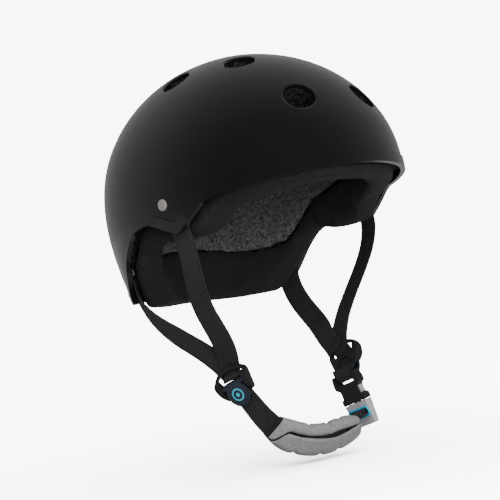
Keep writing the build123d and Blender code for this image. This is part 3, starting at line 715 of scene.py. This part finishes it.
link(tree, ring_in.outputs["Dot"], in_dot.inputs[1])
either = add_node(tree, "ShaderNodeMath", operation="MAXIMUM")
link(tree, on_line.outputs[0], either.inputs[0])
link(tree, in_dot.outputs[0], either.inputs[1])
rise = add_node(tree, "ShaderNodeVectorMath", operation="DOT_PRODUCT")
link(tree, offset.outputs[0], rise.inputs[0])
link(tree, ring_in.outputs["Axis"], rise.inputs[1])
outside = add_node(tree, "ShaderNodeMath", operation="GREATER_THAN")
link(tree, rise.outputs["Value"], outside.inputs[0])
link(tree, ring_in.outputs["Low"], outside.inputs[1])
printed = add_node(tree, "ShaderNodeMath", operation="MULTIPLY")
link(tree, either.outputs[0], printed.inputs[0])
link(tree, outside.outputs[0], printed.inputs[1])
link(tree, printed.outputs[0], ring_out.inputs["Mask"])

for side, name in ((-1, "right"), (1, "left")):
    navy, tree, shader, colour = plastic(
        f"navy_disc_{name}", (0.008, 0.014, 0.026), (0.014, 0.022, 0.036), 0.2, coat=0.4
    )
    ring = use_group(tree, ring_group)
    ring.inputs["Centre"].default_value = spot(DIVIDERS[side], 0, 0, 0) * MM
    ring.inputs["Axis"].default_value = way(DIVIDERS[side], 0, 0, 1)
    mix = add_node(tree, "ShaderNodeMix", data_type="RGBA")
    link(tree, ring.outputs["Mask"], mix.inputs["Factor"])
    link(tree, colour, mix.inputs["A"])
    mix.inputs["B"].default_value = (0.02, 0.52, 0.72, 1)
    link(tree, mix.outputs["Result"], shader.inputs["Base Color"])
    finish_node(f"divider_lever_{name}", navy)
print("group:", ring_group.name)

# %% [markdown]
# ## Foam and fabric
# The liner is moulded from black foam beads, so its surface is a mosaic of soft cells, with painted shade in
# the creases between them. The crown lining is a fuzzy fleece, mottled black and grey, and the bands are
# covered with a smoother brushed cloth.

# %% Bead foam
BEAD_SCALE = 330.0
bead_foam, tree, shader = new_material("black_bead_foam")
where = add_node(tree, "ShaderNodeTexCoord")
beads = add_node(tree, "ShaderNodeTexVoronoi", feature="F1", Scale=BEAD_SCALE)
link(tree, where.outputs["Object"], beads.inputs["Vector"])
# Painted shade: each bead is lighter at its middle and darker toward its edge, where the creases between
# beads lie.
bead_crease_shade = add_node(tree, "ShaderNodeMapRange")
bead_crease_shade.inputs["From Min"].default_value = 0.15
bead_crease_shade.inputs["From Max"].default_value = 0.75
bead_crease_shade.inputs["To Min"].default_value = 1.0
bead_crease_shade.inputs["To Max"].default_value = 0.0
link(tree, beads.outputs["Distance"], bead_crease_shade.inputs["Value"])
beads_and_crease_shade = two_tone(tree, bead_crease_shade.outputs["Result"], (0.004, 0.004, 0.004), (0.03, 0.03, 0.031))
link(tree, beads_and_crease_shade, shader.inputs["Base Color"])
shader.inputs["Roughness"].default_value = 0.72
bead_bump = add_node(tree, "ShaderNodeBump", Strength=0.35, Distance=0.0004)
link(tree, bead_crease_shade.outputs["Result"], bead_bump.inputs["Height"])
link(tree, bead_bump.outputs["Normal"], shader.inputs["Normal"])
finish_node("impact_liner", bead_foam)
print("beads about", round(1000 / BEAD_SCALE, 1), "mm across")

# %% Fuzzy and brushed cloth
cloth_group, cloth_in, cloth_out = new_group(
    "cloth_fibres",
    {
        "Clump": ("NodeSocketFloat", 260.0), "Fibre": ("NodeSocketFloat", 1500.0),
        "Share": ("NodeSocketFloat", 0.5),
    },
    {"Mottle": "NodeSocketFloat", "Height": "NodeSocketFloat"},
)
tree = cloth_group
where = add_node(tree, "ShaderNodeTexCoord")
clumps = add_node(tree, "ShaderNodeTexNoise", Detail=3.0, Roughness=0.65)
link(tree, where.outputs["Object"], clumps.inputs["Vector"])
link(tree, cloth_in.outputs["Clump"], clumps.inputs["Scale"])
fibres = add_node(tree, "ShaderNodeTexNoise", Detail=2.0, Roughness=0.7)
link(tree, where.outputs["Object"], fibres.inputs["Vector"])
link(tree, cloth_in.outputs["Fibre"], fibres.inputs["Scale"])
blend_node = add_node(tree, "ShaderNodeMix", data_type="FLOAT")
link(tree, cloth_in.outputs["Share"], blend_node.inputs["Factor"])
link(tree, clumps.outputs["Fac"], blend_node.inputs["A"])
link(tree, fibres.outputs["Fac"], blend_node.inputs["B"])
contrast = add_node(tree, "ShaderNodeMapRange")
contrast.inputs["From Min"].default_value = 0.41
contrast.inputs["From Max"].default_value = 0.61
link(tree, blend_node.outputs["Result"], contrast.inputs["Value"])
link(tree, contrast.outputs["Result"], cloth_out.inputs["Mottle"])
link(tree, blend_node.outputs["Result"], cloth_out.inputs["Height"])


def cloth_material(name, dark, light, clump, fibre, share, depth, sheen=0.3):
    """Cloth in two tones; clump and fibre are the fineness of its pile, depth that of its bump in metres."""
    material, tree, shader = new_material(name)
    cloth = use_group(tree, cloth_group, Clump=clump, Fibre=fibre, Share=share)
    link(tree, two_tone(tree, cloth.outputs["Mottle"], dark, light), shader.inputs["Base Color"])
    shader.inputs["Roughness"].default_value = 0.9
    shader.inputs["Specular IOR Level"].default_value = 0.2
    shader.inputs["Sheen Weight"].default_value = sheen
    shader.inputs["Sheen Roughness"].default_value = 0.5
    bump = add_node(tree, "ShaderNodeBump", Strength=0.7, Distance=depth)
    link(tree, cloth.outputs["Height"], bump.inputs["Height"])
    link(tree, bump.outputs["Normal"], shader.inputs["Normal"])
    return material


fleece = cloth_material(
    "mottled_fleece", (0.003, 0.003, 0.003), (0.2, 0.2, 0.203),
    clump=380.0, fibre=1500.0, share=0.62, depth=0.0012,
)
brushed = cloth_material(
    "brushed_band_cloth", (0.012, 0.012, 0.012), (0.033, 0.033, 0.034),
    clump=1100.0, fibre=2600.0, share=0.6, depth=0.0002, sheen=0.03,
)
heather = cloth_material(
    "heather_grey_cloth", (0.16, 0.16, 0.163), (0.38, 0.38, 0.385),
    clump=900.0, fibre=2200.0, share=0.6, depth=0.00025, sheen=0.2,
)
flap_cloth = cloth_material(
    "plum_grey_cloth", (0.16, 0.15, 0.157), (0.37, 0.348, 0.36),
    clump=900.0, fibre=2200.0, share=0.6, depth=0.00025, sheen=0.2,
)
sleeve_black = cloth_material(
    "sleeve_lining", (0.003, 0.003, 0.003), (0.014, 0.014, 0.014),
    clump=900.0, fibre=2400.0, share=0.6, depth=0.0002,
)
print("cloth materials ready")

# %% [markdown]
# ## Padding by cloth simulation
# Padded fabric is made the way a sewing room would: a slightly smaller copy of the space that the pad
# fills is given an even skin of small faces, and air pressure swells it like stuffing. Two limits keep it
# honest: it runs for twenty frames without gravity, and no point may travel further than a set distance.

# %% Mesh helpers
def applied(piece):
    """Turns what the modifiers show now into the mesh itself."""
    graph = bpy.context.evaluated_depsgraph_get()
    mesh = bpy.data.meshes.new_from_object(piece.evaluated_get(graph))
    piece.modifiers.clear()
    piece.data = mesh
    return piece


def corners(mesh):
    """The mesh's points as an array with one row each."""
    values = np.zeros(len(mesh.vertices) * 3)
    mesh.vertices.foreach_get("co", values)
    return values.reshape(-1, 3)


# %% Stuffing by air pressure
LAST_FRAME = 20


def inflated(piece, pressure, cap, pinned=None, stiffness=15.0):
    """Swells a closed mesh by cloth simulation; no point moves further than the cap, in metres."""
    before = corners(piece.data)
    cloth = piece.modifiers.new("stuffing", "CLOTH")
    cloth.settings.use_pressure = True
    cloth.settings.uniform_pressure_force = pressure
    cloth.settings.effector_weights.gravity = 0
    cloth.settings.tension_stiffness = stiffness
    cloth.settings.compression_stiffness = stiffness
    cloth.settings.quality = 5
    if pinned is not None:
        group = piece.vertex_groups.new(name="held")
        for index, weight in enumerate(pinned):
            if weight > 0:
                group.add([index], float(weight), "REPLACE")
        cloth.settings.vertex_group_mass = "held"
    cloth.point_cache.frame_start = 1
    cloth.point_cache.frame_end = LAST_FRAME
    for step in range(1, LAST_FRAME + 1):
        bpy.context.scene.frame_set(step)
    applied(piece)
    bpy.context.scene.frame_set(1)
    move = corners(piece.data) - before
    length = np.linalg.norm(move, axis=1)
    limit = np.minimum(1, cap / np.maximum(length, 1e-9))
    piece.data.vertices.foreach_set("co", (before + move * limit[:, None]).ravel())
    piece.data.update()
    print(piece.name, "swelled by up to", round(float(min(cap, length.max())) * 1000, 1), "mm")
    return piece


def subdivided(piece):
    """Rounds a mesh off by one level of subdivision."""
    modifier = piece.modifiers.new("round", "SUBSURF")
    modifier.levels = 1
    modifier.render_levels = 1
    applied(piece)
    piece.data.polygons.foreach_set("use_smooth", [True] * len(piece.data.polygons))
    return piece


# %% Even skin
VOXEL, WELD = 0.003, 2e-5


def skin_of(node_name, name, material, shrink, rounds):
    """A copy of a solid, a little smaller, with an even skin of small square faces."""
    mesh = nodes[node_name].data.copy()
    shape = bmesh.new()
    shape.from_mesh(mesh)
    bmesh.ops.remove_doubles(shape, verts=shape.verts, dist=WELD)
    shape.normal_update()
    normals = [v.normal.copy() for v in shape.verts]
    for vertex, normal in zip(shape.verts, normals):
        vertex.co -= normal * shrink
    shape.to_mesh(mesh)
    shape.free()
    mesh.materials.clear()
    mesh.materials.append(material)
    piece = bpy.data.objects.new(name, mesh)
    bpy.context.scene.collection.objects.link(piece)
    modifier = piece.modifiers.new("skin", "REMESH")
    modifier.mode = "VOXEL"
    modifier.voxel_size = VOXEL
    applied(piece)
    even = piece.modifiers.new("even", "SMOOTH")
    even.factor = 0.5
    even.iterations = rounds
    return applied(piece)


# %% [markdown]
# ## Lining and bands
# The crown lining is fleece laid over the foam, and two padded bands run round the brow and the nape. They
# could be drawn by hand, but the solids already fill the right space, so each is skinned, stuffed and
# rounded. The bands' ends are drawn on until they touch, and the fleece gets an uneven pile.

# %% Pile and reaching ends
def ruffled(piece, depth, scale):
    """Moves each point a little along its normal, as a pile of fibres would."""
    spots = corners(piece.data)
    normals = np.array([tuple(v.normal) for v in piece.data.vertices])
    lift = np.array([noise.noise(Vector(p) * scale) for p in spots])
    piece.data.vertices.foreach_set("co", (spots + normals * (lift * depth)[:, None]).ravel())
    piece.data.update()
    return piece


def reaching(piece, end, reach, run=0.025):
    """Draws the ends of a band on toward its neighbour; end is the sign of y that they point to."""
    spots = corners(piece.data)
    last = (spots[:, 1] * end).max()
    share = np.clip(1 - (last - spots[:, 1] * end) / run, 0, 1)
    spots[:, 1] += end * reach * share * share * (3 - 2 * share)
    piece.data.vertices.foreach_set("co", spots.ravel())
    piece.data.update()
    return piece


# %% Crown lining and bands
BAND_REACH, BAND_PRESSURE = 0.004, 4.0
PILE_DEPTH, PILE_SCALE = 0.0006, 320.0
for node_name, name, material, rounds, shrink, cap, slot_name, end in (
    ("crown_lining", "crown_fleece", fleece, 3, 0.0003, 0.0012, "lining_fleece", 0),
    ("front_band", "front_band_cover", brushed, 9, 0.0004, 0.0022, "band_fabric", 1),
    ("rear_band", "rear_band_cover", brushed, 9, 0.0004, 0.0022, "band_fabric", -1),
):
    piece = skin_of(node_name, name, material, shrink, rounds)
    if end:
        reaching(piece, end, BAND_REACH)
    inflated(piece, BAND_PRESSURE, cap)
    if node_name == "crown_lining":
        ruffled(piece, PILE_DEPTH, PILE_SCALE)
    subdivided(piece)
    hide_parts(node_name)
    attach(piece, "helmet")
    print(name, "faces", len(piece.data.polygons))

# %% [markdown]
# ## The chin pad
# The pad is a sleeve of two layers that wraps the strap and meets in a slit on its outer face. Its
# section is laid out along the edge of a flat oval, from the upper lip over the top, down the back and up
# to the lower lip, and back again along the inside. The slit starts at the lower corner and climbs.

# %% Section of the sleeve
PAD_WIDTH, PAD_THICK, PAD_WALL = 27.0, 12.0, 3.4
CORNER = 0.45 * PAD_THICK
STRAIGHT = PAD_WIDTH / 2 - CORNER
EDGE_LENGTH = 4 * STRAIGHT + 2 * (PAD_THICK - 2 * CORNER) + 2 * math.pi * CORNER


def oval_edge(travel):
    """Point and outward direction on the section's edge; travel counts upward from the front's middle."""
    t = travel % EDGE_LENGTH
    half, flat_end = PAD_THICK / 2, PAD_THICK - 2 * CORNER
    quarter = math.pi / 2 * CORNER
    legs = (
        (STRAIGHT, (0, half), (1, 0)), (quarter, (STRAIGHT, half - CORNER), 0),
        (flat_end, (PAD_WIDTH / 2, flat_end / 2), (0, -1)), (quarter, (STRAIGHT, -half + CORNER), 1),
        (2 * STRAIGHT, (STRAIGHT, -half), (-1, 0)), (quarter, (-STRAIGHT, -half + CORNER), 2),
        (flat_end, (-PAD_WIDTH / 2, -flat_end / 2), (0, 1)), (quarter, (-STRAIGHT, half - CORNER), 3),
        (STRAIGHT, (-STRAIGHT, half), (1, 0)),
    )
    for length, start, way_on in legs:
        if t <= length or (length, start, way_on) == legs[-1]:
            if isinstance(way_on, tuple):
                outward = (-way_on[1], way_on[0])
                return (start[0] + way_on[0] * t, start[1] + way_on[1] * t), outward
            turn = math.pi / 2 * (1 - way_on) - t / CORNER
            outward = (math.cos(turn), math.sin(turn))
            return (start[0] + CORNER * outward[0], start[1] + CORNER * outward[1]), outward
        t -= length


print("once round the section:", round(EDGE_LENGTH, 1), "mm")

# %% [markdown]
# The slit gapes where the pad bends most, and quilting pinches the roll and the flap at a few places.
# Every measure is a function of one share, which runs from 0 at the pad's right end to 1 at its left.

# %% Slit and gathers
SLIT_FOOT, SLIT_CLIMB, CLIMB_SHARE, SLIT_WAVE = -14.5, 18.0, 0.13, 0.8
SLIT_WIDTH, GAPE_WIDTH, GAPE_AT, GAPE_RUN = 1.7, 2.9, 0.68, 0.16
MOUTH_WIDTH, MOUTH_SHARE = 2.0, 0.12
GATHER_RUN = 0.022
ROLL_GATHERS = ((0.33, 0.13), (0.59, 0.26), (0.77, 0.2))
FLAP_GATHERS = ((0.25, 0.12), (0.5, 0.13), (0.7, 0.12))


def slit_travel(share):
    """Where the slit runs: it leaves the lower corner at the right end and climbs to the face."""
    climb = min(1.0, share / CLIMB_SHARE)
    return SLIT_FOOT + SLIT_CLIMB * (3 * climb ** 2 - 2 * climb ** 3) + SLIT_WAVE * math.sin(5 * share)


def slit_gap(share):
    """How wide the slit stands open, in millimetres."""
    gape = math.exp(-(((share - GAPE_AT) / GAPE_RUN) ** 2))
    return SLIT_WIDTH + GAPE_WIDTH * gape + MOUTH_WIDTH * max(0.0, 1 - share / MOUTH_SHARE)


def gather(share, upper):
    """How much the quilting narrows the section; 1 is not at all."""
    gathers = ROLL_GATHERS if upper else FLAP_GATHERS
    return 1 - sum(depth * math.exp(-(((share - spot_on) / GATHER_RUN) ** 2)) for spot_on, depth in gathers)


print("slit", [round(slit_gap(share), 1) for share in (0.0, 0.3, 0.68, 1.0)], "mm wide")

# %% Points of the sleeve
RINGS, AROUND = 64, 46
LINING_RIM, FLAP_TIP, TIP_FROM, TIP_RUN = 6.5, 3.0, 0.92, 0.08
END_DRAW, TAPER_DEPTH, TAPER_FROM, TAPER_RUN = 0.2, 0.3, 0.72, 0.28
LIP_HELD, GATHER_HOLD = 1.5, 7


def lip_nose(from_lip):
    """How far each face of the wall draws in near a lip, so that the lip ends round."""
    radius = PAD_WALL / 2
    return radius * (1 - math.sqrt(max(0.0, 1 - max(0.0, 1 - from_lip / radius) ** 2)))


pad_rings = strip_frames(CHIN_LINE, RINGS, PAD_START, PAD_STOP)
pad_points, pad_heading, pad_side, pad_face, line_length = pad_rings
share_list = np.linspace(0, 1, RINGS + 1)
vertices, held = [], []
for share, middle, heading_way, side_way, face_way in zip(
    share_list, pad_points, pad_heading, pad_side, pad_face
):
    gap, start = slit_gap(share), slit_travel(share)
    ends = 1 - END_DRAW * abs(2 * share - 1) ** 7
    taper = max(0.0, (share - TAPER_FROM) / TAPER_RUN) ** 1.6
    run = EDGE_LENGTH - gap
    for layer in (0, 1):
        for j in (range(AROUND) if layer == 0 else reversed(range(AROUND))):
            t = j / (AROUND - 1)
            (u, v), (nu, nv) = oval_edge(start + gap / 2 + run * t)
            from_lip = min(t, 1 - t) * run
            nose = lip_nose(from_lip)
            sink = nose if layer == 0 else PAD_WALL - nose
            if layer == 1 and share == 0.0:
                sink = max(nose, 1.0)
            u, v = u - nu * sink, v - nv * sink
            scale = ends * (gather(share, t < 0.5) if layer == 0 else 1.0)
            u -= taper * max(0.0, u + 4.0) * TAPER_DEPTH
            shift = heading_way * (FLAP_TIP * max(0.0, share - TIP_FROM) / TIP_RUN * max(0.0, t - 0.8) / 0.2)
            if layer and share == 0.0:
                shift = -heading_way * LINING_RIM * (0.5 + 0.5 * max(0.0, -u) / 13)
            vertices.append(middle + side_way * u * scale + face_way * v * scale + shift)
            pinch = 1 - gather(share, t < 0.5)
            stays = layer == 1 or from_lip < LIP_HELD or share in (0.0, 1.0)
            held.append(1.0 if stays else min(1.0, GATHER_HOLD * pinch))
print("points:", len(vertices))

# %% Faces of the sleeve
ROLL_PART = 0.62
ring_size = 2 * AROUND
faces, material_slots = [], []
for i in range(RINGS):
    for j in range(ring_size):
        k = (j + 1) % ring_size
        low, high = i * ring_size, (i + 1) * ring_size
        faces.append((low + j, low + k, high + k, high + j))
        outer = j < AROUND - 1
        material_slots.append((0 if j < ROLL_PART * AROUND else 1) if outer else 2)
for i in (0, RINGS):
    for j in range(AROUND - 1):
        a, b = i * ring_size + j, i * ring_size + j + 1
        c, d = i * ring_size + ring_size - 2 - j, i * ring_size + ring_size - 1 - j
        faces.append((a, b, c, d) if i else (d, c, b, a))
        material_slots.append(2)
sleeve = mesh_piece("chin_pad_sleeve", vertices, faces, heather)
sleeve.data.materials.append(flap_cloth)
sleeve.data.materials.append(sleeve_black)
sleeve.data.polygons.foreach_set("material_index", material_slots)
print("faces:", len(faces))

# %% Stuffed sleeve
inflated(sleeve, 6.0, 0.0014, pinned=held, stiffness=8.0)
subdivided(sleeve)
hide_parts("chin_pad")
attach(sleeve, "chin_loop")
print("sleeve length", round(line_length * (PAD_STOP - PAD_START)), "mm")
